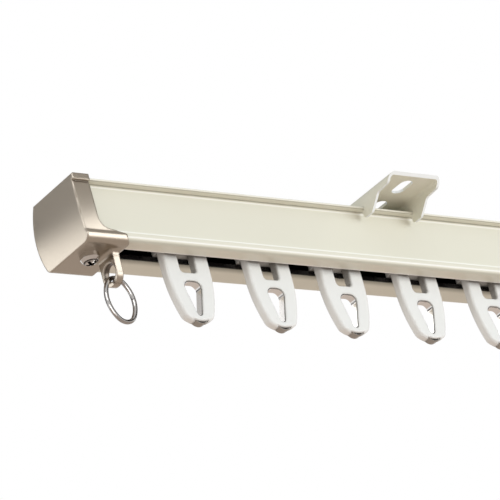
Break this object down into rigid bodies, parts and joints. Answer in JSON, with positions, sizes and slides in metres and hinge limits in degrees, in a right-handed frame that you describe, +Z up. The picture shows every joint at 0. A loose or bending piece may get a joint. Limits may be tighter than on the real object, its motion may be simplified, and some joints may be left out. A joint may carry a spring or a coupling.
{
  "type": "ceiling curtain track",
  "caption": "Ceiling curtain track: slotted extruded rail on a clip bracket, cast end caps with wire rings, and gliding runners with steel-lined eyes.",
  "frame": {"origin": "on the ceiling face of the bracket, midway between its two screw slots", "axes": "+X along the rail, +Y away from the room, +Z up into the ceiling"},
  "size_m": [0.2776, 0.0444, 0.0545],
  "materials": {
    "cream_rail": "satin cream coating on an extrusion",
    "black_liner": "smooth black plastic",
    "satin_nickel": "satin nickel plate",
    "bright_steel": "bright plate",
    "plain_steel": "plain steel",
    "painted_steel": "satin beige coating",
    "white_moulding": "glossy white moulding"
  },
  "bodies": {
    "track": {"rail": "cream_rail", "quiet_liner": "black_liner", "end_cap_left": "satin_nickel", "end_cap_right": "satin_nickel", "cap_screw_left": "bright_steel", "cap_screw_right": "bright_steel", "clamp_nut_left": "plain_steel", "clamp_nut_right": "plain_steel", "ceiling_bracket": "painted_steel"},
    "runner_1": {"runner_body_1": "white_moulding", "runner_eye_1": "bright_steel"},
    "runner_2": {"runner_body_2": "white_moulding", "runner_eye_2": "bright_steel"},
    "runner_3": {"runner_body_3": "white_moulding", "runner_eye_3": "bright_steel"},
    "runner_4": {"runner_body_4": "white_moulding", "runner_eye_4": "bright_steel"},
    "runner_5": {"runner_body_5": "white_moulding", "runner_eye_5": "bright_steel"},
    "runner_6": {"runner_body_6": "white_moulding", "runner_eye_6": "bright_steel"},
    "runner_7": {"runner_body_7": "white_moulding", "runner_eye_7": "bright_steel"},
    "ring_left": {"ring_left": "bright_steel"},
    "ring_right": {"ring_right": "bright_steel"}
  },
  "joints": [
    {"name": "runner_1_slide", "type": "slide", "parent": "track", "child": "runner_1", "axis": [1, 0, 0], "range_m": [-0.0127, 0.0079]},
    {"name": "runner_2_slide", "type": "slide", "parent": "track", "child": "runner_2", "axis": [1, 0, 0], "range_m": [-0.0079, 0.0063]},
    {"name": "runner_3_slide", "type": "slide", "parent": "track", "child": "runner_3", "axis": [1, 0, 0], "range_m": [-0.0063, 0.0078]},
    {"name": "runner_4_slide", "type": "slide", "parent": "track", "child": "runner_4", "axis": [1, 0, 0], "range_m": [-0.0078, 0.0068]},
    {"name": "runner_5_slide", "type": "slide", "parent": "track", "child": "runner_5", "axis": [1, 0, 0], "range_m": [-0.0068, 0.0048]},
    {"name": "runner_6_slide", "type": "slide", "parent": "track", "child": "runner_6", "axis": [1, 0, 0], "range_m": [-0.0048, 0.0033]},
    {"name": "runner_7_slide", "type": "slide", "parent": "track", "child": "runner_7", "axis": [1, 0, 0], "range_m": [-0.0033, 0.004]},
    {"name": "ring_left_swing", "type": "hinge", "parent": "track", "child": "ring_left", "pos_m": [-0.1246, 0.0105, -0.03745], "axis": [1, 0, 0], "range_deg": [-80, 80]},
    {"name": "ring_right_swing", "type": "hinge", "parent": "track", "child": "ring_right", "pos_m": [0.1246, 0.0105, -0.03745], "axis": [1, 0, 0], "range_deg": [-80, 80]}
  ]
}
